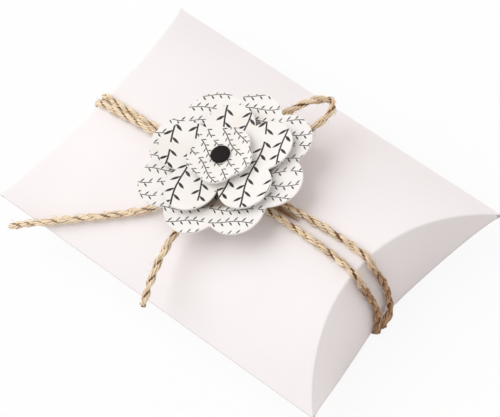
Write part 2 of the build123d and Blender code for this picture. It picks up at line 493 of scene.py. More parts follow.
def sprig_print(wire, turn, row, leaf, stem):
    """Ink mask of printed sprigs: rows of wavy stems with leaves on alternate sides, in millimetres."""
    place = object_place(wire, scale=(1 / MM, 1 / MM, 1 / MM), turn=turn)
    along = place.part(0)
    across = place.part(1)
    number = (across / row).math("FLOOR")
    chance = number.node("ShaderNodeTexWhiteNoise", {"noise_dimensions": "1D"}, {"W": number})
    run = along + chance * ROW_SHIFT
    rise = across - (number + 0.5) * row
    wave = (run * (STEM_WAVE / row) + chance * WAVE_SHIFT).math("SINE")
    height = rise - wave * (STEM_SWING * row)
    step = LEAF_STEP * leaf
    count = (run / step).math("FLOOR")
    from_root = run - (count + LEAF_ROOT) * step
    side = 1.0 - (count % 2.0) * 2.0
    out = from_root * cos(LEAF_LEAN) + height * side * sin(LEAF_LEAN)
    off = height * side * cos(LEAF_LEAN) - from_root * sin(LEAF_LEAN)
    share = (out / leaf).clipped()
    width = share * (1.0 - share) * (LEAF_FULLNESS * leaf)
    leaves = (width - abs(off)).between(0.0, LEAF_EDGE)
    stems = (stem - abs(height)).between(-STEM_EDGE, STEM_EDGE)
    sprig = (run / (SPRIG_LEAVES * step)) % 1.0
    shown = 1.0 - sprig.between(1 - SPRIG_FADE / SPRIG_LEAVES, 1 - 1 / SPRIG_LEAVES)
    return leaves.math("MAXIMUM", stems) * shown


PAPER_WARMTH = (0.975, 0.95, 0.915)  # aged paper, as shares of its colour
# Painted shade round the fastener on the base layer, which shows in the notches of the middle layer
NOTCH_SHADE_UNEVEN = 1.6  # in mm, as is the blur
NOTCH_SHADE_BLUR = 1.4
NOTCH_SHADE_STRENGTH = 0.85


def notch_shade_mask(wire, place, reach):
    """Mask of painted shade round the fastener on a layer, out to a reach in millimetres, which shows in the notches
    of the layer above.
    """
    x = place.part(0) - flower_x
    y = place.part(1) - flower_y
    out = (x * x + y * y).math("SQRT") / MM + noise(wire, place, INK_BLUR) * NOTCH_SHADE_UNEVEN
    return 1.0 - out.between(reach, reach + NOTCH_SHADE_BLUR)


def printed_paper(name, colours, turn, row, leaf, stem, rubbed):
    """Off-white paper printed with uneven dark sprigs, and painted brown out to a reach in millimetres as painted
    shade under the layer above.
    """
    material, wire, sockets = new_material(name)
    place = object_place(wire)
    tooth = noise(wire, place, PAPER_TOOTH, detail=3.0)
    ageing = noise(wire, place, PAPER_AGEING, detail=3.0)
    warm = [channel * share for channel, share in zip(colours.paper, PAPER_WARMTH)]
    paper = ageing.between(0.42, 0.75).mixed(solid(colours.paper), solid(warm))
    # Painted shade: brown round the fastener, where the middle layer's notches look down into shade
    if rubbed:
        paper = (notch_shade_mask(wire, place, rubbed) * NOTCH_SHADE_STRENGTH).mixed(paper, solid(colours.rubbed))
    wear = noise(wire, place, INK_WEAR, detail=2.0).between(0.22, 0.42) * 0.2 + 0.8
    ink = (sprig_print(wire, turn, row, leaf, stem) * wear).clipped()
    feed(sockets, "Base Color", ink.mixed(paper, solid(colours.ink)))
    feed(sockets, "Roughness", 0.72 - ink * 0.15)
    feed(sockets, "Normal", bump(wire, tooth, 0.2, TOOTH_DEPTH))
    sockets["Specular IOR Level"].default_value = 0.3
    return material


WRAP_PALE = 0.18  # share of pale fibres that is added over the whole of the wrap, and of the loose cords
CORD_PALE = 0.3
LEFT_PAINTED_LIGHT = 0.3  # painted light: the share of pale added left of the flower, where the lamp from the left falls on the twine, between these places along the box
LEFT_LIGHT_PLACES = (-16 * MM, -4 * MM)
LOW_PAINTED_SHADE = 0.9  # painted shade: how much browner the wrap is painted low on the box, where the ends and the underside face away from the lamp, between these heights
LOW_SHADE_HEIGHTS = (13 * MM, 21 * MM)
FIBRE_STRETCH = 0.07  # scale of the streaks along a strand
GROOVE_SHADE_SHARES = (0.3, 0.23, 0.17)  # painted shade in the grooves between strands and bundles and in slits between fibres, as shares of the brown fibres' colour


def attribute(wire, name, output):
    return wire.node("ShaderNodeAttribute", {"attribute_name": name}, output=output)


def twine_material(name, colours, pale, worn):
    """Jute strands: pale and brown streaks, with painted shade in the grooves and dark slits, painted browner low on
    the box as painted shade, and painted paler left of the flower as painted light.
    """
    material, wire, sockets = new_material(name)
    lay = attribute(wire, "strand_lay", "Vector")
    groove = attribute(wire, "strand_rise", "Fac")
    bundle = attribute(wire, "strand_bundle", "Fac")
    stretched = wire.node("ShaderNodeMapping", {}, {"Vector": lay, "Scale": (FIBRE_STRETCH, 1.0, 1.0)})
    fibre = noise(wire, stretched, JUTE_FIBRES, detail=4.0, roughness=0.65)
    slit = noise(wire, stretched, JUTE_SLITS, detail=2.0).between(0.36, 0.46)
    patch = noise(wire, lay, JUTE_PATCHES, detail=2.0)
    place = object_place(wire)
    # Painted shade: the wrap is browner low on the box, where it faces away from the lamp
    low = (1.0 - place.part(2).between(*LOW_SHADE_HEIGHTS)) * worn
    # Painted light: paler left of the flower, where the lamp falls from the left
    painted_left_light = (1.0 - place.part(0).between(*LEFT_LIGHT_PLACES)) * LEFT_PAINTED_LIGHT
    streak = fibre.between(0.37, 0.56) * 0.75 + patch.between(0.3, 0.65) * 0.35 + pale - low + painted_left_light
    # Painted shade: the grooves between strands and between bundles, and slits between fibres, take a darker brown
    crest = groove.between(0.5, 0.7) * (0.5 + bundle.between(0.1, 0.5) * 0.5)
    # More painted shade in the grooves low on the box
    painted_low_shade = low * (1.0 - fibre.between(0.4, 0.58)) * 0.45
    shown = (crest * (0.35 + slit * 0.65) - painted_low_shade + painted_left_light * 0.5).clipped()
    groove_shade_colour = [channel * share for channel, share in zip(colours.brown, GROOVE_SHADE_SHARES)]
    fibres = streak.clipped().mixed(solid(colours.brown), solid(colours.pale))
    feed(sockets, "Base Color", shown.mixed(solid(groove_shade_colour), fibres))
    feed(sockets, "Roughness", 0.5 + fibre * 0.25)
    feed(sockets, "Normal", bump(wire, fibre, 0.7, FIBRE_DEPTH))
    sockets["Specular IOR Level"].default_value = 0.4
    sockets["Sheen Weight"].default_value = 0.15
    return material


def fibre_material(name, colours, pale=1.0, stretch=1.0):
    """Single jute hairs, some of them pale and some of them brown."""
    material, wire, sockets = new_material(name)
    tint = noise(wire, object_place(wire, scale=(stretch, 1.0, 1.0)), HAIR_TINTS)
    share = tint.between(0.35, 0.65) * pale
    feed(sockets, "Base Color", share.mixed(solid(colours.brown), solid(colours.pale)))
    feed(sockets, "Roughness", 0.6 + tint * 0.2)
    return material


FOAM_WHITE = (0.84, 0.82, 0.79)
# Painted shade in the hollows of the foam's cells
FOAM_HOLLOW_SHADE = (0.62, 0.6, 0.57)
STEEL_BRIGHT = (0.62, 0.61, 0.6)
STEEL_DULL = (0.42, 0.41, 0.4)
STEEL_STRETCH = 0.05  # scale of the drawing lines along the legs
DUST_PALE = 0.045  # how much paler the dust is than the enamel


def foam_material(name):
    """White foam with fine open cells, whose hollows are painted darker as painted shade."""
    material, wire, sockets = new_material(name)
    inputs = {"Vector": object_place(wire), "Scale": FOAM_CELLS}
    cells = wire.node("ShaderNodeTexVoronoi", {"feature": "F1"}, inputs)
    feed(sockets, "Base Color", cells.between(0.1, 0.6).mixed(solid(FOAM_HOLLOW_SHADE), solid(FOAM_WHITE)))
    feed(sockets, "Roughness", 0.85 + cells * 0.1)
    feed(sockets, "Normal", bump(wire, cells, 0.6, CELL_DEPTH))
    return material


def steel_material(name):
    """Thin bent steel with fine drawing lines along the legs."""
    material, wire, sockets = new_material(name)
    lines = noise(wire, object_place(wire, scale=(STEEL_STRETCH, 1.0, 1.0)), STEEL_LINES)
    feed(sockets, "Base Color", lines.mixed(solid(STEEL_DULL), solid(STEEL_BRIGHT)))
    feed(sockets, "Roughness", 0.28 + lines * 0.2)
    sockets["Metallic"].default_value = 1.0
    return material


def enamel_material(name, colour):
    """Black enamel with fine dust in it."""
    material, wire, sockets = new_material(name)
    place = object_place(wire)
    dust = noise(wire, place, ENAMEL_DUST, detail=2.0).between(0.6, 0.8)
    speck = [channel + DUST_PALE for channel in colour]
    feed(sockets, "Base Color", dust.mixed(solid(colour), solid(speck)))
    feed(sockets, "Roughness", 0.62 + dust * 0.2)
    feed(sockets, "Normal", bump(wire, dust, 0.15, TOOTH_DEPTH))
    sockets["Specular IOR Level"].default_value = 0.12
    return material


# Meshes
def grid_sheet(columns, rows, place):
    """A grid whose points are put in place by place(u, v), with u and v from -1 to 1."""
    bm = bmesh.new()
    bmesh.ops.create_grid(bm, x_segments=columns, y_segments=rows, size=1.0)
    for vert in bm.verts:
        vert.co = place(vert.co.x, vert.co.y)
    bm.normal_update()
    return bm


def thicken(bm, depth):
    """Gives a sheet its thickness, on the side that its normals point away from."""
    bmesh.ops.solidify(bm, geom=bm.faces[:], thickness=depth)
    bm.normal_update()


def sharpen(bm, angle):
    for edge in bm.edges:
        if len(edge.link_faces) == 2 and edge.calc_face_angle() > angle:
            edge.smooth = False


def piece_from(name, bm, *materials):
    """Makes a linked object of a bmesh, smooth apart from its sharp edges."""
    mesh = bpy.data.meshes.new(name)
    bm.to_mesh(mesh)
    bm.free()
    mesh.shade_smooth()
    piece = bpy.data.objects.new(name, mesh)
    bpy.context.scene.collection.objects.link(piece)
    for material in materials:
        mesh.materials.append(material)
    return piece


def keep_node(node, material):
    """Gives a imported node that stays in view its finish."""
    mesh = frame["nodes"][node].data
    mesh.materials.clear()
    mesh.materials.append(material)


def shared_material(name, make, *values):
    """The material of that name, made when it is first asked for."""
    return bpy.data.materials.get(name) or make(name, *values)


def white_card():
    return shared_material("white_card", card_material, list(bpy.context.scene.favor_card.colour))


# Card box
SHARP_CARD = radians(40)
PANEL_FLAT = 0.9  # share of a panel's grid that lies between its folds
PANEL_COLUMNS = 100
PANEL_ROWS = 96
FLAP_COLUMNS = 44
FLAP_ROWS = 40
NEAR_SAG = 2.25 * MM  # how far the near half of the bottom panel hangs below the mirror of the top panel
FAR_SAG = 0.45 * MM  # and the far half
SAG_SKEW = 1.2  # moves the lowest place of the sag towards the side edges
EDGE_STEP = 0.8 * MM  # two thicknesses of card where the panels meet along the side edges
EDGE_SHARPNESS = 8  # how close to the side edges that step stays
RIM_REACH = 0.35 * MM  # a panel's inner rims lie within this distance of the side edges
RIM_TOUCH = 0.02 * MM  # what lies nearer than this is the outer rim
FLAP_SLIT = 0.08 * MM  # between an outer flap's free edge and the bottom panel
FLAP_TUCK = 0.2  # share of the fold's radius that is left over an outer flap's upper edge
FLAP_BACK = 0.06  # how far a flap stands behind its fold, as a share of the fold's radius
FLAP_TUCK_BACK = 0.65  # and how much further at its upper edge
FLAP_TIP = 0.976  # share of the half width where an outer flap ends
FLAP_HINGE_REACH = 17.0 * MM  # an outer flap turns out within this distance of its middle
FLAP_HINGE_DEPTH = 0.03 / MM  # and further out towards its free edge


def bow(y):
    """Height of a panel over the side edges, and the inset of an end fold, at a place across the box."""
    return sqrt(arc_radius**2 - y * y) - (arc_radius - half_height)


def sag(y):
    """How far the bottom panel hangs below the mirror of the top panel."""
    out = abs(y) / half_width
    most = NEAR_SAG if y < 0 else FAR_SAG
    return most * sin(pi * out**SAG_SKEW) + EDGE_STEP * out**EDGE_SHARPNESS


def fold_radius(y):
    return min(bpy.context.scene.favor_card.fold_round, bow(y) / 2)


def panel_place(side):
    """Places a panel's points: bowed across the box, and turned round the end folds at both ends."""

    def place(u, v):
        y = v * half_width
        rise = bow(y)
        radius = fold_radius(y)
        flat = half_length - rise - radius
        past = max(0.0, abs(u) - PANEL_FLAT) / (1 - PANEL_FLAT) * pi / 2
        inside = min(abs(u) / PANEL_FLAT, 1.0)
        x = flat * inside + radius * sin(past)
        z = rise - radius * (1 - cos(past))
        if side < 0:
            z += sag(y)
        return Vector((x if u > 0 else -x, y, mid_z + side * z))

    return place


def press_rims(bm):
    """Brings a panel's inner rims out to the side edges, where the two panels are pressed together."""
    for vert in bm.verts:
        out = abs(vert.co.y)
        if half_width - RIM_REACH < out < half_width - RIM_TOUCH:
            vert.co.y *= half_width / out
            vert.co.z = mid_z - EDGE_STEP / 2


def flap_place(end, half):
    """Places the points of one half of an outer flap, from its middle to its tip and from edge to edge."""

    def place(u, v):
        y = half * (u + 1) / 2 * FLAP_TIP * half_width
        rise = bow(y)
        radius = fold_radius(y)
        upper = mid_z + rise - radius * FLAP_TUCK
        lower = mid_z - rise - sag(y) + radius + FLAP_SLIT
        z = lower + (upper - lower) * (v + 1) / 2
        tucked = max(0.0, z - (mid_z + rise - radius)) / radius
        back = radius * (FLAP_BACK + FLAP_TUCK_BACK * tucked**2)
        return Vector((end * (half_length - rise - back), y, z))

    return place


class FAVOR_OT_panels(bpy.types.Operator):
    """Make the bowed top and bottom panels with their rounded end folds, and finish the glue tab"""

    bl_idname = "favor.panels"
    bl_label = "Card Panels"

    def execute(self, context):
        card = context.scene.favor_card
        for name, node, side in (("top_sheet", "top_panel", 1), ("bottom_sheet", "bottom_panel", -1)):
            bm = grid_sheet(PANEL_COLUMNS, PANEL_ROWS, panel_place(side))
            if side < 0:
                bmesh.ops.reverse_faces(bm, faces=bm.faces[:])
            thicken(bm, card.thickness)
            press_rims(bm)
            sharpen(bm, SHARP_CARD)
            piece = piece_from(name, bm, white_card())
            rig.ride(piece, "box")
            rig.replaces(piece, node)
            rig.slot(piece, "card")
        keep_node("glue_tab", white_card())
        return {"FINISHED"}


class FAVOR_OT_flaps(bpy.types.Operator):
    """Make the hollow outer flaps, which bend out of the end folds, and finish the inner flaps"""

    bl_idname = "favor.flaps"
    bl_label = "End Flaps"

    def execute(self, context):
        card = context.scene.favor_card
        for end, end_name in ((1, "right"), (-1, "left")):
            node = f"{end_name}_outer_flap"
            for half, half_name in ((1, "far"), (-1, "near")):
                bm = grid_sheet(FLAP_COLUMNS, FLAP_ROWS, flap_place(end, half))
                if end * half < 0:
                    bmesh.ops.reverse_faces(bm, faces=bm.faces[:])
                thicken(bm, card.thickness)
                sharpen(bm, SHARP_CARD)
                piece = piece_from(f"{node}_{half_name}", bm, white_card())
                slope = Vector((-end * FLAP_HINGE_DEPTH, -half / FLAP_HINGE_REACH, -FLAP_HINGE_DEPTH))
                crown = Vector((end * fold_x, 0.0, top_z))
                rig.blend(piece, "box", node, start=crown - slope / slope.length_squared, end=crown)
                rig.replaces(piece, node)
                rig.slot(piece, "card")
            keep_node(f"{end_name}_inner_flap", white_card())
        return {"FINISHED"}


# Twine
STRAND_LOBES = 5  # bundles of fibres in each strand
LOBE_SIDES = 4
LOBE_DEPTH = 0.26  # depth of the grooves between them, as a share of the strand's radius
LOBE_LAY = 7.5 * MM  # length of one turn of the bundles, against the strands' own turn
STRAND_SHARE = 0.315  # radius of a strand, as a share of the twine's diameter
STRAND_OFFSET = 0.19  # distance of a strand's middle from the twine's, as a share of the diameter
STRAND_STEP = 0.3 * MM  # least distance between the rings of a strand
STRAND_TEXTURE_STEP = 0.5  # moves each strand to a place of its own in the fibres' pattern
TWIST_DRIFT = 0.45  # how far the twist runs ahead and behind, in radians, and how slowly
TWIST_DRIFT_RUN = 7.3 * MM
SLOW_SWELL = 0.08  # swelling of a strand, as shares of its radius, and the lengths that it takes
SLOW_SWELL_RUN = 2.9 * MM
QUICK_SWELL = 0.06
QUICK_SWELL_RUN = 1.1 * MM
LOBE_SWELL = 0.1
LOBE_SWELL_RUN = 1.7 * MM
TWINE_GAP = 0.14 * MM  # between the wrap and the card
TWINE_FLAT = 0.5 * MM  # how far the lower strands are pressed flat
PRESS = 0.5  # share of the wrap's thickness that is lost round the left fold
PRESS_REACH = 3.4 * MM
ROUTE_STEPS = 36  # points read from the route for each of its control points
FIBRE_SIDES = 3
FIBRE_RINGS = 5
FIBRE_THICKNESS = (0.03, 0.065)  # radii of fibres, in mm
FIBRE_TAPER = 0.6  # share of its radius that a fibre loses towards its tip
FIBRE_ROOT = 0.95  # where a fibre lies, as a share of its strand's radius
FIBRE_WANDER = 0.6  # how far its tip turns aside, in radians
FIBRES_LYING = 0.75  # share of the fibres that lie close along a strand
LYING_LIFT = (0.0, 0.3)  # rise of a fibre's tip, in mm
STANDING_LIFT = (0.3, 1.1)
LYING_STRIDES = (1, 2, 2, 3)  # rings of the strand between the rings of a fibre
FRAYED_FIBRES = 3  # more fibres at the cut end of each strand, within so many rings
FRAYED_RINGS = 4
WISP_FIBRES = 60  # fibres laid between the turns, beside the flower
WISP_STARTS = (6.0, 9.0)  # places along the box where its fibres start and end, in mm
WISP_ENDS = (12.5, 19.3)
WISP_SIDES = (-0.8, 0.8)  # where a fibre starts beside the wisp's middle and over the panel, in mm
WISP_HEIGHTS = (0.05, 0.6)
WISP_CLEAR = 0.1  # left under every fibre, in mm
WISP_MIDDLE = 0.1  # middle of the wisp across the box where its last fibres start, in mm
WISP_SLANT = 0.055  # and how far it moves across for each mm along
WISP_NARROWING = 0.55  # shares of its width and of its height that it loses towards its end
WISP_LOWERING = 0.6
WISP_THICKNESS = (0.05, 0.09)  # radii of its fibres, in mm
WISP_PALE = 0.85  # share of pale in its fibres, and their streaks' stretch along the box
WISP_STREAK = 0.1
FIBRE_SEEDS = 100  # from the seed of a stretch of twine to the seed of its fibres
PHASES = (0.0, 6.0)  # where the swelling of a strand and of its bundles may start, in radians
FLOOR_Z = 0.02 * MM
MERGE = 1e-7  # distance that closes the seams of strands and spun shapes, and of the finer fibres
FIBRE_MERGE = 1e-8


def on_top(x, y, lift=0.0):
    """A point of the wrap over the top panel, in millimetres, lifted where it lies over the other turn."""
    strand = bpy.context.scene.favor_twine.diameter / 2
    return Vector((x * MM, y * MM, mid_z + bow(y * MM) + TWINE_GAP + strand + lift * MM))


def on_end(end, y, share, lift=0.0):
    """A point of the wrap against an end flap: share 0 at the bottom corner, 1 at the top corner."""
    strand = bpy.context.scene.favor_twine.diameter / 2
    high = on_top(0.0, y).z
    low = strand - TWINE_FLAT
    x = half_length - bow(y * MM) + TWINE_GAP + strand + lift * MM
    return Vector((end * x, y * MM, low + (high - low) * share))


def under_box(x, y):
    """A point of the wrap under the bottom panel, in millimetres."""
    return Vector((x * MM, y * MM, bpy.context.scene.favor_twine.diameter / 2 - TWINE_FLAT))


def over_panel(x, y, rise):
    """A point of a loose cord, in millimetres, given by its height over the crown of the top panel."""
    return Vector((x * MM, y * MM, top_z + rise * MM))


def wrap_route():
    return [
        on_top(-1.2, 1.75),
        on_top(-11.0, 0.5),
        on_top(-21.0, -0.4),
        on_top(-33.2, -0.6),
        on_end(-1, -0.65, 1.0),
        on_end(-1, -0.4, 0.86),
        on_end(-1, 0.8, 0.45),
        on_end(-1, 1.8, 0.14),
        on_end(-1, 2.0, 0.0),
        under_box(-33.2, 2.0),
        under_box(-20.0, 1.25),
        under_box(-7.0, 0.75),
        under_box(7.0, 0.2),
        under_box(20.0, -0.5),
        under_box(33.2, -1.2),
        on_end(1, -1.9, 0.0, -0.4),
        on_end(1, -1.4, 0.1, 0.6),
        on_end(1, 0.3, 0.13, 0.4),
        on_end(1, 1.5, 0.2, 0.1),
        on_end(1, 2.2, 0.36),
        on_end(1, 2.35, 0.54),
        on_end(1, 1.85, 0.76),
        on_end(1, 1.65, 0.9),
        on_end(1, 1.7, 1.0),
        on_top(33.6, 2.2),
        on_top(25.0, 2.15),
        on_top(15.0, 1.55),
        on_top(4.0, 0.6, 0.2),
        on_top(-9.0, -0.6, 0.6),
        on_top(-21.0, -1.25, 0.7),
        on_top(-33.2, -2.3),
        on_end(-1, -2.35, 1.0),
        on_end(-1, -2.25, 0.86),
        on_end(-1, -1.7, 0.45),
        on_end(-1, -1.3, 0.14),
        on_end(-1, -1.2, 0.0),
        under_box(-33.2, -1.25),
        under_box(-20.0, -1.5),
        under_box(-7.0, -2.0),
        under_box(7.0, -2.25),
        under_box(20.0, -2.8),
        under_box(33.2, -3.05),
        on_end(1, -3.3, 0.0, -0.4),
        on_end(1, -2.9, 0.1, -0.1),
        on_end(1, -1.75, 0.2),
        on_end(1, -1.35, 0.32),
        on_end(1, -1.6, 0.56),
        on_end(1, -2.15, 0.84),
        on_end(1, -2.25, 1.0),
        on_top(33.6, -1.75),
        on_top(24.0, -1.3),
        on_top(13.0, -1.3),
        on_top(1.2, -2.2),
    ]


# Routes of the loose cords: along the box, across it, and over the crown of the top panel, in millimetres
bow_points = [
    (0.2, 2.0, 2.5),
    (-0.2, 9.7, 2.4),
    (0.0, 17.4, 2.0),
    (3.0, 22.7, 1.7),
    (5.8, 24.5, 1.6),
    (7.8, 22.3, 1.7),
    (7.5, 16.9, 2.0),
    (5.0, 9.2, 2.4),
    (1.9, 2.0, 2.5),
]
left_tail_points = [
    (-1.4, -2.0, 2.5),
    (-4.3, -8.0, 1.75),
    (-8.1, -13.2, -0.35),
    (-13.2, -16.9, -1.9),
    (-18.8, -20.4, -3.5),
    (-24.9, -23.8, -5.4),
    (-29.5, -26.2, -7.15),
    (-34.6, -28.9, -9.05),
    (-38.3, -30.8, -10.4),
]
near_tail_points = [
    (0.7, -0.8, 2.5),
    (0.2, -8.0, 2.3),
    (0.3, -14.9, 1.8),
    (1.6, -21.2, 1.15),
    (3.4, -26.8, 0.2),
    (5.3, -30.8, -0.65),
]
# The knot: three passes over the wrap, side by side, turned back at both sides
knot_points = [
    (-2.1, -2.6, 1.6),
    (-2.1, -1.4, 2.5),
    (-2.0, 1.4, 2.55),
    (-1.8, 2.7, 1.8),
    (-0.4, 2.9, 1.5),
    (0.0, 1.5, 2.5),
    (0.1, -1.6, 2.55),
    (0.4, -2.9, 1.6),
    (1.7, -2.8, 1.5),
    (1.9, -1.4, 2.5),
    (2.0, 1.4, 2.5),
    (2.1, 2.6, 1.6),
]


def loose_route(points):
    return [over_panel(*point) for point in points]


def smooth_line(name, route):
    """Points along one smooth spline with the route's points as its control points."""
    curve = bpy.data.curves.new(name, "CURVE")
    curve.dimensions = "3D"
    spline = curve.splines.new("NURBS")
    spline.points.add(len(route) - 1)
    for point, place in zip(spline.points, route):
        point.co = (*place, 1.0)
    spline.order_u = 3
    spline.use_endpoint_u = True
    spline.resolution_u = ROUTE_STEPS
    holder = bpy.data.objects.new(name, curve)
    bpy.context.scene.collection.objects.link(holder)
    mesh = bpy.data.meshes.new_from_object(holder)
    read = [vert.co.copy() for vert in mesh.vertices]
    bpy.data.objects.remove(holder)
    bpy.data.curves.remove(curve)
    bpy.data.meshes.remove(mesh)
    line = read[:1]
    for place in read[1:-1]:
        if (place - line[-1]).length > STRAND_STEP:
            line.append(place)
    return line + read[-1:]


def travelled(line):
    """Distance along a line at each of its points."""
    reached = [0.0]
    for start, end in zip(line, line[1:]):
        reached.append(reached[-1] + (end - start).length)
    return reached


def carried_frames(line):
    """A tangent and two sides for each point, turned along the line without twist."""
    tangents = [(after - before).normalized() for before, after in zip(line, line[1:])]
    tangents.append(tangents[-1])
    normal = tangents[0].orthogonal().normalized()
    frames = []
    before = tangents[0]
    for tangent in tangents:
        normal = before.rotation_difference(tangent) @ normal
        normal = (normal - tangent * normal.dot(tangent)).normalized()
        frames.append((tangent, normal, tangent.cross(normal)))
        before = tangent
    return frames


def add_tube(bm, line, radii, sides):
    """A tube along a line. Gives its vertices with the ring and the side that each belongs to."""
    frames = carried_frames(line)
    rings = len(line) - 1
    made = bmesh.ops.create_grid(bm, x_segments=rings, y_segments=sides, size=1.0)["verts"]
    placed = []
    for vert in made:
        ring = round((vert.co.x + 1) / 2 * rings)
        number = round((vert.co.y + 1) / 2 * sides)
        angle = 2 * pi * number / sides
        _, normal, side = frames[ring]
        vert.co = line[ring] + (normal * cos(angle) + side * sin(angle)) * radii[ring]
        placed.append((vert, ring, number))
    return placed


def close_ends(bm):
    bmesh.ops.holes_fill(bm, edges=[edge for edge in bm.edges if edge.is_boundary])
    bmesh.ops.recalc_face_normals(bm, faces=bm.faces[:])


def strand_path(line, phase, slow):
    """The middle line and the radii of one strand, uneven as hand-spun jute is."""
    twine = bpy.context.scene.favor_twine
    path = []
    radii = []
    for place, (_, normal, side), run in zip(line, carried_frames(line), travelled(line)):
        angle = phase + 2 * pi * run / twine.lay + TWIST_DRIFT * sin(run / TWIST_DRIFT_RUN + slow)
        uneven = 1 + SLOW_SWELL * sin(run / SLOW_SWELL_RUN + slow)
        uneven += QUICK_SWELL * sin(run / QUICK_SWELL_RUN + 3 * slow)
        out = normal * cos(angle) + side * sin(angle)
        path.append(place + out * twine.diameter * STRAND_OFFSET)
        radii.append(twine.diameter * STRAND_SHARE * uneven)
    return path, radii


def press(bm):
    """Presses the wrap flat on the floor and round the left fold."""
    for vert in bm.verts:
        out = (vert.co.z - top_z - vert.co.x - fold_x) / 2
        along = (vert.co.z - top_z + vert.co.x + fold_x) / PRESS_REACH
        vert.co += Vector((1, 0, -1)) * max(0.0, out) * PRESS * exp(-(along**2))
        vert.co.z = max(vert.co.z, FLOOR_Z)


def twisted_mesh(line, seed):
    """Strands twisted round a line, each of them fluted into bundles of fibres."""
    twine = bpy.context.scene.favor_twine
    chance = Random(seed)
    bm = bmesh.new()
    lay = bm.verts.layers.float_vector.new("strand_lay")
    rise = bm.verts.layers.float.new("strand_rise")
    bundle = bm.verts.layers.float.new("strand_bundle")
    sides = STRAND_LOBES * LOBE_SIDES
    paths = []
    for strand in range(twine.strands):
        path, radii = strand_path(line, 2 * pi * strand / twine.strands, chance.uniform(*PHASES))
        phases = [chance.uniform(*PHASES) for _ in range(STRAND_LOBES)]
        runs = travelled(path)
        placed = add_tube(bm, path, radii, sides)
        tangents = [frame[0] for frame in carried_frames(path)]
        for vert, ring, number in placed:
            run = runs[ring]
            lobe = number // LOBE_SIDES % STRAND_LOBES
            share = abs(sin(pi * number / LOBE_SIDES))
            swell = LOBE_SWELL * share * sin(run / LOBE_SWELL_RUN + phases[lobe])
            out = vert.co - path[ring]
            spin = Quaternion(tangents[ring], -2 * pi * run / LOBE_LAY)
            vert.co = path[ring] + spin @ out * (1 - LOBE_DEPTH * (1 - share) + swell)
            angle = 2 * pi * number / sides
            along = run + strand * STRAND_TEXTURE_STEP
            vert[lay] = Vector((along, radii[ring] * cos(angle), radii[ring] * sin(angle)))
            # Distances from the twine's middle and across each bundle, which the material uses for painted shade in
            # the grooves
            vert[rise] = (vert.co - line[ring]).length / (twine.diameter / 2)
            vert[bundle] = share
        bmesh.ops.remove_doubles(bm, verts=[vert for vert, _, _ in placed], dist=MERGE)
        paths.append(path)
    close_ends(bm)
    return bm, paths


def fibre_line(path, frames, number, chance):
    """One fibre: it winds along a strand with the strand's bundles and leaves it towards its tip."""
    strand = bpy.context.scene.favor_twine.diameter * STRAND_SHARE
    lying = chance.random() < FIBRES_LYING
    stride = chance.choice(LYING_STRIDES) if lying else 1
    lift = chance.uniform(*LYING_LIFT) if lying else chance.uniform(*STANDING_LIFT)
    turn = chance.uniform(0.0, 2 * pi)
    wander = chance.uniform(-FIBRE_WANDER, FIBRE_WANDER)
    run = 0.0
    hair = []
    for ring in range(FIBRE_RINGS + 1):
        place = min(number + ring * stride, len(path) - 1)
        if hair:
            run += (path[place] - path[place - stride]).length
        share = ring / FIBRE_RINGS
        angle = turn - 2 * pi * run / LOBE_LAY + wander * share
        _, normal, side = frames[place]
        out = normal * cos(angle) + side * sin(angle)
        hair.append(path[place] + out * (strand * FIBRE_ROOT + lift * MM * share**2))
    return hair


def add_hair(bm, hair, thick):
    """One fibre along a line, thinner towards its tip."""
    radii = [thick * (1 - FIBRE_TAPER * ring / FIBRE_RINGS) for ring in range(FIBRE_RINGS + 1)]
    placed = add_tube(bm, hair, radii, FIBRE_SIDES)
    bmesh.ops.remove_doubles(bm, verts=[vert for vert, _, _ in placed], dist=FIBRE_MERGE)


def fibre_mesh(paths, seed, frayed=False):
    """Fibres of the strands, with a few more at a cut end."""
    twine = bpy.context.scene.favor_twine
    chance = Random(seed)
    bm = bmesh.new()
    for path in paths:
        frames = carried_frames(path)
        last = len(path) - 1 - max(LYING_STRIDES) * FIBRE_RINGS
        count = int(twine.fibres * travelled(path)[-1] / MM / twine.strands)
        starts = [chance.randrange(2, last) for _ in range(count)]
        if frayed:
            end = len(path) - 1 - FIBRE_RINGS
            starts += [end - chance.randrange(FRAYED_RINGS) for _ in range(FRAYED_FIBRES)]
        for number in starts:
            hair = fibre_line(path, frames, number, chance)
            thick = chance.uniform(*FIBRE_THICKNESS) * MM
            if min(place.z for place in hair) >= FLOOR_Z + thick:
                add_hair(bm, hair, thick)
    close_ends(bm)
    return bm


def wisp_mesh(seed):
    """A wisp of fibres that runs out between the two turns of the wrap, under and beside the flower."""
    chance = Random(seed)
    bm = bmesh.new()
    for _ in range(WISP_FIBRES):
        start = chance.uniform(*WISP_STARTS)
        end = chance.uniform(*WISP_ENDS)
        side = chance.uniform(*WISP_SIDES)
        rise = chance.uniform(*WISP_HEIGHTS)
        hair = []
        for ring in range(FIBRE_RINGS + 1):
            share = ring / FIBRE_RINGS
            x = start + (end - start) * share
            y = WISP_MIDDLE + WISP_SLANT * (x - WISP_STARTS[1]) + side * (1 - WISP_NARROWING * share)
            hair.append(over_panel(x, y, rise * (1 - WISP_LOWERING * share) + WISP_CLEAR))
        add_hair(bm, hair, chance.uniform(*WISP_THICKNESS) * MM)
    close_ends(bm)
    return bm


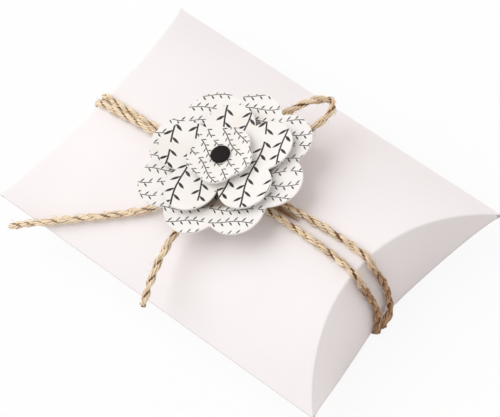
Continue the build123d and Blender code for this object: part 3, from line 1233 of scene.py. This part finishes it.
def make_twine(name, route, node, seed, pressed=False, frayed=False):
    """A stretch of twine with its fibres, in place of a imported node. Gives its piece, fibres and line."""
    line = smooth_line(name, route)
    bm, strands = twisted_mesh(line, seed)
    hair_bm = fibre_mesh(strands, seed + FIBRE_SEEDS, frayed)
    if pressed:
        press(bm)
        press(hair_bm)
    finish, pale, worn = ("worn_jute", WRAP_PALE, LOW_PAINTED_SHADE) if pressed else ("clean_jute", CORD_PALE, 0.0)
    twine = bpy.context.scene.favor_twine
    piece = piece_from(name, bm, shared_material(finish, twine_material, twine, pale, worn))
    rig.ride(piece, "tie")
    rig.replaces(piece, node)
    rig.slot(piece, "jute")
    hairs = piece_from(f"{name}_fibres", hair_bm, shared_material("jute_hairs", fibre_material, twine))
    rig.ride(hairs, "tie")
    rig.slot(hairs, "jute")
    return piece, hairs, line


class FAVOR_OT_wrap(bpy.types.Operator):
    """Wind the twine twice round the box and tie its knot"""

    bl_idname = "favor.wrap"
    bl_label = "Twine Wrap"

    def execute(self, context):
        make_twine("wrap_twine", wrap_route(), "twine_wrap", seed=3, pressed=True)
        make_twine("knot_twine", loose_route(knot_points), "twine_knot", seed=5)
        twine = context.scene.favor_twine
        brown_hairs = shared_material("brown_hairs", fibre_material, twine, WISP_PALE, WISP_STREAK)
        wisp = piece_from("wrap_wisp", wisp_mesh(seed=17), brown_hairs)
        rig.ride(wisp, "tie")
        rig.slot(wisp, "jute")
        return {"FINISHED"}


class FAVOR_OT_loose_ends(bpy.types.Operator):
    """Lay the bow loop and the two tails that leave the knot"""

    bl_idname = "favor.loose_ends"
    bl_label = "Bow Loop and Tails"

    def execute(self, context):
        cords = (
            ("loop_twine", bow_points, "bow_loop", 7, "object"),
            ("left_tail_twine", left_tail_points, "left_tail", 11, "bare"),
            ("near_tail_twine", near_tail_points, "near_tail", 13, "bare"),
        )
        for name, points, node, seed, far_end in cords:
            piece, hairs, line = make_twine(name, loose_route(points), node, seed, frayed=far_end == "bare")
            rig.cord(
                piece,
                exit=line[0],
                length=travelled(line)[-1],
                diameter=context.scene.favor_twine.diameter,
                far_end=far_end,
                stiffness="medium",
                lay="loose",
                path=line,
                with_pieces=[hairs],
            )
        return {"FINISHED"}


# Paper flower
PAPER = 0.35 * MM
HOLE_RADIUS = 0.75 * MM
FLAT_SHARE = 0.4  # share of a layer's radius that stays flat round the fastener
OUTLINE_STEPS = 200
LAYER_RINGS = 18
RING_SPACING = 0.85  # under 1 draws the rings of a layer together towards its edge
CURL_LEVEL = 0.12  # lowers a petal's middle as its side edges curl up
SHARP_PAPER = radians(45)
PRINTED_SIDE = 0.3  # faces that look up more than this carry the print
# Each petal has its direction in degrees, the reach of its tip in mm and the rise of its tip in mm,
# and the lengths of the print, and the reach of the painted shade round the fastener, are in mm too
layers = {
    "flower_base": {
        "petals": [
            (11, 17.7, 0.5),
            (56, 18.0, 0.5),
            (101, 16.4, 0.2),
            (146, 16.9, 0.2),
            (191, 17.0, 0.4),
            (236, 17.6, 0.5),
            (281, 17.2, 0.3),
            (326, 17.5, 0.4),
        ],
        "petal_radius": 6.0,
        "print": {"turn": radians(-32), "row": 2.9, "leaf": 1.35, "stem": 0.09, "rubbed": 10.7},
    },
    "flower_middle": {
        "petals": [(-14, 13.9, 0.8), (51, 14.3, 0.9), (123, 12.2, 0.5), (195, 14.0, 0.7), (266, 13.8, 0.8)],
        "petal_radius": 5.4,
        "print": {"turn": radians(64), "row": 4.6, "leaf": 2.3, "stem": 0.18, "rubbed": 0.0},
    },
    "flower_top": {
        "petals": [(14, 6.7, 0.4), (86, 6.6, 0.3), (158, 6.8, 0.4), (230, 6.8, 0.5), (302, 6.6, 0.4)],
        "petal_radius": 4.1,
        "print": {"turn": radians(18), "row": 2.3, "leaf": 1.15, "stem": 0.1, "rubbed": 0.0},
    },
}


def turned_from(angle, direction):
    """The turn from a direction in degrees to an angle, between half a turn either way."""
    return (angle - radians(direction) + pi) % (2 * pi) - pi


def petal_outline(angle, petals, petal_radius):
    """Distance of a layer's edge from the fastener: the furthest of its petals in that direction."""
    reaches = []
    for direction, tip, _ in petals:
        out = tip * MM - petal_radius
        turn = turned_from(angle, direction)
        beside = petal_radius**2 - (out * sin(turn)) ** 2
        if beside > 0 and cos(turn) > 0:
            reaches.append(out * cos(turn) + sqrt(beside))
    return max(reaches)


def petal_height(angle, out, petals, petal_radius, curl):
    """Rise of the paper over its flat middle: each petal is cupped, and its side edges curl."""
    pitch = 2 * pi / len(petals)
    total = 0.0
    height = 0.0
    for direction, tip, rise in petals:
        turn = turned_from(angle, direction)
        weight = max(0.0, 1 - abs(turn) / pitch) ** 2
        flat = FLAT_SHARE * tip * MM
        past = max(0.0, out - flat) / (tip * MM - flat)
        across = out * sin(turn) / petal_radius
        height += weight * past * (rise * MM * past + curl * (across**2 - CURL_LEVEL))
        total += weight
    return height / total


def petal_mesh(z, petals, petal_radius, curl):
    """A die-cut layer, drawn out ring by ring from the fastener's hole to the petals' edge."""
    angles = [2 * pi * number / OUTLINE_STEPS for number in range(OUTLINE_STEPS)]
    edges = [petal_outline(angle, petals, petal_radius) for angle in angles]

    def place(number, share):
        angle = angles[number]
        out = HOLE_RADIUS + (edges[number] - HOLE_RADIUS) * share
        height = petal_height(angle, out, petals, petal_radius, curl)
        return Vector((flower_x + out * cos(angle), flower_y + out * sin(angle), z + height))

    bm = bmesh.new()
    ring = bmesh.ops.create_circle(bm, segments=OUTLINE_STEPS, radius=1.0)["verts"]
    for number, vert in enumerate(ring):
        vert.co = place(number, 0.0)
    loop = bm.edges[:]
    for step in range(1, LAYER_RINGS + 1):
        made = bmesh.ops.extrude_edge_only(bm, edges=loop)["geom"]
        drawn = [item for item in made if isinstance(item, bmesh.types.BMVert)]
        for number, vert in enumerate(drawn):
            vert.co = place(number, (step / LAYER_RINGS) ** RING_SPACING)
        loop = [item for item in made if isinstance(item, bmesh.types.BMEdge) and item.is_boundary]
    bmesh.ops.recalc_face_normals(bm, faces=bm.faces[:])
    bm.normal_update()
    if sum(face.normal.z for face in bm.faces) < 0:
        bmesh.ops.reverse_faces(bm, faces=bm.faces[:])
        bm.normal_update()
    thicken(bm, PAPER)
    sharpen(bm, SHARP_PAPER)
    for face in bm.faces:
        face.material_index = 0 if face.normal.z > PRINTED_SIDE else 1
    return bm


class FAVOR_OT_flower(bpy.types.Operator):
    """Cut, cup and print the three layers of the paper flower"""

    bl_idname = "favor.flower"
    bl_label = "Flower Layers"

    def execute(self, context):
        flower = context.scene.favor_flower
        plain = shared_material("plain_paper", card_material, list(flower.paper))
        for node, layer in layers.items():
            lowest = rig.box(node)[0].z
            bm = petal_mesh(lowest + PAPER, layer["petals"], layer["petal_radius"] * MM, flower.curl)
            printed = printed_paper(f"{node}_print", flower, **layer["print"])
            piece = piece_from(f"{node}_paper", bm, printed, plain)
            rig.ride(piece, node)
            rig.replaces(piece, node)
            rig.slot(piece, "petal_paper")
        return {"FINISHED"}


# Pads and fastener
PAD_BULGE = 0.12 * MM
PAD_SEGMENTS = 64
PROFILE_STEPS = 10
HEAD_RIM = 0.18 * MM  # radius of the head's rolled rim, which is rolled through this angle
HEAD_ROLL = 0.75 * pi
HEAD_DOME = 0.55  # share of the height over its rim that the head's dome takes up


def spun(profile, axis_x, axis_y, segments):
    """A closed shape spun from a profile of distance and height."""
    bm = bmesh.new()
    verts = [bm.verts.new((axis_x + out, axis_y, height)) for out, height in profile]
    edges = [bm.edges.new(pair) for pair in zip(verts, verts[1:])]
    bmesh.ops.spin(
        bm,
        geom=verts + edges,
        cent=(axis_x, axis_y, 0.0),
        axis=(0, 0, 1),
        angle=2 * pi,
        steps=segments,
        use_merge=True,
    )
    bmesh.ops.remove_doubles(bm, verts=bm.verts[:], dist=MERGE)
    bmesh.ops.recalc_face_normals(bm, faces=bm.faces[:])
    bm.normal_update()
    return bm


class FAVOR_OT_fastener(bpy.types.Operator):
    """Make the foam pads between the layers and the fastener that holds them"""

    bl_idname = "favor.fastener"
    bl_label = "Fastener and Pads"

    def execute(self, context):
        foam = shared_material("white_foam", foam_material)
        for node, hole in (("flower_pad", 0.0), ("base_spacer", HOLE_RADIUS), ("middle_spacer", HOLE_RADIUS)):
            low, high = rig.box(node)
            outer = (high.x - low.x) / 2 - PAD_BULGE
            thickness = high.z - low.z
            profile = [(hole, low.z)]
            for step in range(PROFILE_STEPS + 1):
                angle = pi * step / PROFILE_STEPS
                profile.append((outer + PAD_BULGE * sin(angle), low.z + thickness * (1 - cos(angle)) / 2))
            profile.append((hole, high.z))
            if hole:
                profile.append((hole, low.z))
            bm = spun(profile, flower_x, flower_y, PAD_SEGMENTS)
            sharpen(bm, SHARP_PAPER)
            piece = piece_from(f"{node}_foam", bm, foam)
            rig.ride(piece, "tie")
            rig.replaces(piece, node)
            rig.slot(piece, "foam")
            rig.padded(piece, fill=1.0)
        keep_node("fastener_legs", shared_material("bent_steel", steel_material))
        self.make_head(context)
        return {"FINISHED"}

    def make_head(self, context):
        """A low dome with a rolled rim."""
        inner = (head_high.x - head_low.x) / 2 - HEAD_RIM
        profile = [(0.0, head_low.z), (inner, head_low.z)]
        for step in range(PROFILE_STEPS + 1):
            angle = -pi / 2 + HEAD_ROLL * step / PROFILE_STEPS
            profile.append((inner + HEAD_RIM * cos(angle), head_low.z + HEAD_RIM * (1 + sin(angle))))
        edge_out, edge_height = profile[-1]
        dome = (head_high.z - edge_height) * HEAD_DOME
        for step in range(1, PROFILE_STEPS + 1):
            angle = pi / 2 * step / PROFILE_STEPS
            profile.append((edge_out * cos(angle), edge_height + dome * sin(angle)))
        bm = spun(profile, flower_x, flower_y, PAD_SEGMENTS)
        enamel = shared_material("black_enamel", enamel_material, list(context.scene.favor_flower.enamel))
        piece = piece_from("black_head", bm, enamel)
        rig.ride(piece, "tie")
        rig.replaces(piece, "fastener_head")
        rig.slot(piece, "fastener_black")


# Stage
CAMERA_EYE = Vector((0.3811, -0.1644, 0.5626))
CAMERA_TARGET = Vector((0.00127, 0.00017, 0.00983))
CAMERA_ROLL = radians(27.394)
CAMERA_CLIP = 0.01
SENSOR = 36.0  # in millimetres, as the lens is
SKY_COLOUR = (1.0, 0.945, 0.925)
KEY_FROM = Vector((-0.47, -0.23, 0.85))
KEY_SIZE = 1.05
KEY_COLOUR = (0.97, 0.985, 1.0)
FILL_FROM = Vector((0.56, 0.78, 0.3))
FILL_SIZE = 0.9
FILL_COLOUR = (1.0, 0.94, 0.92)
LAMP_DISTANCE = 0.9
FLOOR_SIZE = 3.0
FLOOR_COLOUR = (0.9, 0.89, 0.885)
FLOOR_WHITE = 0.9  # share of plain white that a camera sees, over the lit floor
WHITE = (1.0, 1.0, 1.0)


def seen_directly(wire):
    """1 for what the camera sees, straight or through gloss and glass."""
    kinds = ("Is Camera Ray", "Is Glossy Ray", "Is Transmission Ray")
    straight, gloss, glass = [wire.node("ShaderNodeLightPath", output=kind) for kind in kinds]
    return straight.math("MAXIMUM", gloss).math("MAXIMUM", glass)


class FAVOR_OT_stage(bpy.types.Operator):
    """Set the white floor, the soft light and the camera"""

    bl_idname = "favor.stage"
    bl_label = "Studio"

    def execute(self, context):
        studio = context.scene.favor_studio
        self.make_floor()
        self.make_light(studio)
        self.make_camera(studio)
        context.scene.view_settings.view_transform = "Standard"
        return {"FINISHED"}

    def make_floor(self):
        bm = bmesh.new()
        bmesh.ops.create_grid(bm, x_segments=1, y_segments=1, size=FLOOR_SIZE)
        material = bpy.data.materials.new("pale_floor")
        wire = cleared(material)
        lit = wire.node("ShaderNodeBsdfDiffuse", {}, {"Color": solid(FLOOR_COLOUR)})
        white = wire.node("ShaderNodeEmission", {}, {"Color": solid(WHITE), "Strength": 1.0})
        share = seen_directly(wire) * FLOOR_WHITE
        mixed = wire.node("ShaderNodeMixShader", {}, {0: share, 1: lit, 2: white})
        wire.node("ShaderNodeOutputMaterial", {}, {"Surface": mixed})
        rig.stage(piece_from("floor", bm, material))

    def make_light(self, studio):
        world = bpy.data.worlds.new("soft_sky")
        wire = cleared(world)
        even = wire.node("ShaderNodeBackground", {}, {"Color": solid(SKY_COLOUR), "Strength": studio.sky})
        white = wire.node("ShaderNodeBackground", {}, {"Color": solid(WHITE), "Strength": 1.0})
        mixed = wire.node("ShaderNodeMixShader", {}, {0: seen_directly(wire), 1: even, 2: white})
        wire.node("ShaderNodeOutputWorld", {}, {"Surface": mixed})
        bpy.context.scene.world = world
        self.make_lamp("key", KEY_FROM, KEY_SIZE, KEY_COLOUR, studio.key)
        self.make_lamp("fill", FILL_FROM, FILL_SIZE, FILL_COLOUR, studio.fill)

    def make_lamp(self, name, towards, size, colour, power):
        lamp = bpy.data.lights.new(name, "AREA")
        lamp.color = colour
        lamp.shape = "DISK"
        lamp.size = size
        lamp.energy = power
        holder = bpy.data.objects.new(name, lamp)
        holder.location = towards.normalized() * LAMP_DISTANCE
        holder.rotation_mode = "QUATERNION"
        holder.rotation_quaternion = (-towards).to_track_quat("-Z", "Y")
        bpy.context.scene.collection.objects.link(holder)

    def make_camera(self, studio):
        data = bpy.data.cameras.new("camera")
        data.lens = studio.lens
        data.sensor_width = SENSOR
        data.clip_start = CAMERA_CLIP
        camera = bpy.data.objects.new("camera", data)
        camera.location = CAMERA_EYE
        camera.rotation_mode = "QUATERNION"
        level = (CAMERA_TARGET - CAMERA_EYE).to_track_quat("-Z", "Y")
        camera.rotation_quaternion = level @ Quaternion((0, 0, 1), -CAMERA_ROLL)
        bpy.context.scene.collection.objects.link(camera)
        bpy.context.scene.camera = camera


operators = (
    FAVOR_OT_panels,
    FAVOR_OT_flaps,
    FAVOR_OT_wrap,
    FAVOR_OT_loose_ends,
    FAVOR_OT_flower,
    FAVOR_OT_fastener,
    FAVOR_OT_stage,
)
settings = {
    "favor_card": CardSettings,
    "favor_twine": TwineSettings,
    "favor_flower": FlowerSettings,
    "favor_studio": StudioSettings,
}


class FAVOR_PT_panel(bpy.types.Panel):
    """Lists the pieces of the favor box and their sizes"""

    bl_idname = "FAVOR_PT_panel"
    bl_label = "Favor Box"
    bl_space_type = "VIEW_3D"
    bl_region_type = "UI"
    bl_category = "Favor Box"

    def draw(self, context):
        for operator in operators:
            self.layout.operator(operator.bl_idname)
        for name, group in settings.items():
            box = self.layout.box()
            for field in group.__annotations__:
                box.prop(getattr(context.scene, name), field)


def register():
    for kind in (*settings.values(), *operators, FAVOR_PT_panel):
        bpy.utils.register_class(kind)
    for name, group in settings.items():
        setattr(bpy.types.Scene, name, PointerProperty(type=group))


def unregister():
    for name in settings:
        delattr(bpy.types.Scene, name)
    for kind in (FAVOR_PT_panel, *operators, *settings.values()):
        bpy.utils.unregister_class(kind)


def main():
    register()
    bpy.ops.favor.stage()
    bpy.ops.favor.panels()
    bpy.ops.favor.flaps()
    bpy.ops.favor.wrap()
    bpy.ops.favor.loose_ends()
    bpy.ops.favor.flower()
    bpy.ops.favor.fastener()
    low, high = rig.bounds()
    sizes = {"cad": [list(cad_low), list(cad_high)], "visual": [list(low), list(high)]}
    with open(SIZE_FILE, "w") as file:
        json.dump(sizes, file)


if __name__ == "__main__":
    main()
